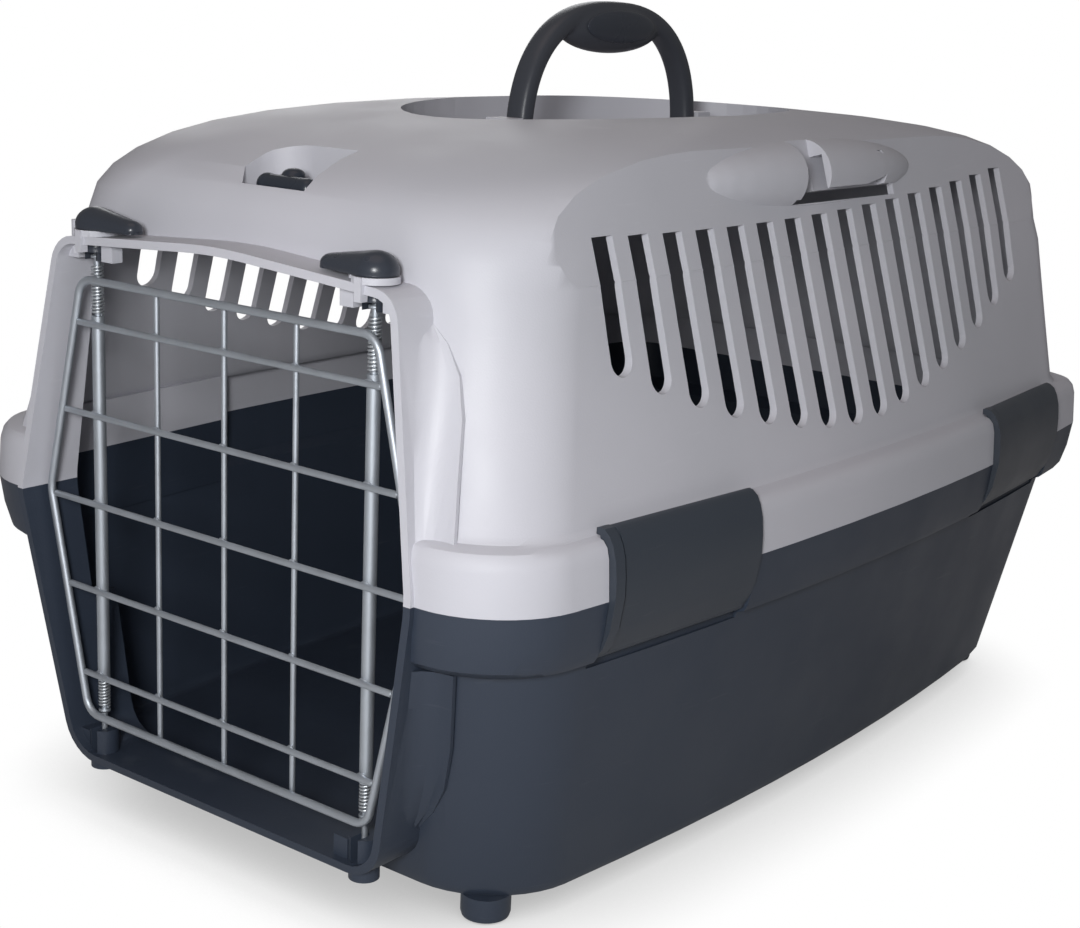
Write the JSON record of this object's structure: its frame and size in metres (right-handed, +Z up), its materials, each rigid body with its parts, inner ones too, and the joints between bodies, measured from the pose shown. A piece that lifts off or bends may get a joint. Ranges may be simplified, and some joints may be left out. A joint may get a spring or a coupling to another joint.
{
  "type": "pet carrier",
  "caption": "Small plastic pet carrier: dark base tray, light ventilated top shell, wire door that opens from either side, side clips and a folding carry handle.",
  "frame": {"origin": "on the floor plane under the feet, below the middle of the carrier", "axes": "+Z is up, the wire door faces -Y, and +X is to the right of someone who faces the door"},
  "size_m": [0.32, 0.484, 0.3325],
  "materials": {
    "shell_plastic": "light warm grey injection-moulded polypropylene, satin with a fine grain",
    "tray_plastic": "dark slate blue-grey injection-moulded polypropylene, satin with a fine grain",
    "clip_plastic": "dark slate blue-grey polypropylene, slightly smoother than the tray",
    "zinc_wire": "bright zinc-plated steel wire and tube with a bluish tint",
    "spring_steel": "zinc-plated round spring wire",
    "lever_plastic": "dark slate moulded plastic, semi-gloss",
    "handle_plastic": "dark slate moulded plastic, satin",
    "hook_plastic": "dark slate moulded plastic, semi-gloss"
  },
  "bodies": {
    "carrier": {"base_tray": "tray_plastic", "top_shell": "shell_plastic", "strap_hook_front": "hook_plastic", "strap_hook_rear": "hook_plastic"},
    "clip_fr": {"clip_front_right": "clip_plastic"},
    "clip_rr": {"clip_rear_right": "clip_plastic"},
    "clip_fl": {"clip_front_left": "clip_plastic"},
    "clip_rl": {"clip_rear_left": "clip_plastic"},
    "right_rod": {"hinge_rod_right": "zinc_wire"},
    "door": {"door_frame_wire": "zinc_wire", "door_cross_wires": "zinc_wire", "door_upright_wires": "zinc_wire", "door_tube_left": "zinc_wire", "door_tube_right": "zinc_wire", "hinge_rod_left": "zinc_wire", "spring_upper_left": "spring_steel", "spring_upper_right": "spring_steel", "spring_lower_left": "spring_steel", "spring_lower_right": "spring_steel"},
    "left_lever": {"lever_left": "lever_plastic"},
    "right_lever": {"lever_right": "lever_plastic"},
    "handle": {"carry_handle": "handle_plastic", "handle_grip": "handle_plastic"}
  },
  "joints": [
    {"name": "handle_fold", "type": "hinge", "parent": "carrier", "child": "handle", "pos_m": [0, 0, 0.27], "axis": [0, 1, 0], "range_deg": [-90, 90]},
    {"name": "door_swing_left", "type": "hinge", "parent": "carrier", "child": "right_rod", "pos_m": [-0.0737, -0.2275, 0.13], "axis": [0, 0, -1], "range_deg": [0, 100]},
    {"name": "door_swing_right", "type": "hinge", "parent": "right_rod", "child": "door", "pos_m": [0.0737, -0.2275, 0.13], "axis": [0, 0, 1], "range_deg": [0, 100]},
    {"name": "lever_left_turn", "type": "hinge", "parent": "carrier", "child": "left_lever", "pos_m": [-0.0737, -0.2275, 0.24], "axis": [0, 0, -1], "range_deg": [0, 90]},
    {"name": "lever_right_turn", "type": "hinge", "parent": "carrier", "child": "right_lever", "pos_m": [0.0737, -0.2275, 0.24], "axis": [0, 0, 1], "range_deg": [0, 90]},
    {"name": "clip_front_right_open", "type": "hinge", "parent": "carrier", "child": "clip_fr", "pos_m": [0.14595, -0.14534, 0.1116], "axis": [0.0802, 0.9968, 0], "range_deg": [0, 105]},
    {"name": "clip_rear_right_open", "type": "hinge", "parent": "carrier", "child": "clip_rr", "pos_m": [0.14595, 0.14534, 0.1116], "axis": [-0.0802, 0.9968, 0], "range_deg": [0, 105]},
    {"name": "clip_front_left_open", "type": "hinge", "parent": "carrier", "child": "clip_fl", "pos_m": [-0.14595, -0.14534, 0.1116], "axis": [0.0802, -0.9968, 0], "range_deg": [0, 105]},
    {"name": "clip_rear_left_open", "type": "hinge", "parent": "carrier", "child": "clip_rl", "pos_m": [-0.14595, 0.14534, 0.1116], "axis": [-0.0802, -0.9968, 0], "range_deg": [0, 105]}
  ]
}
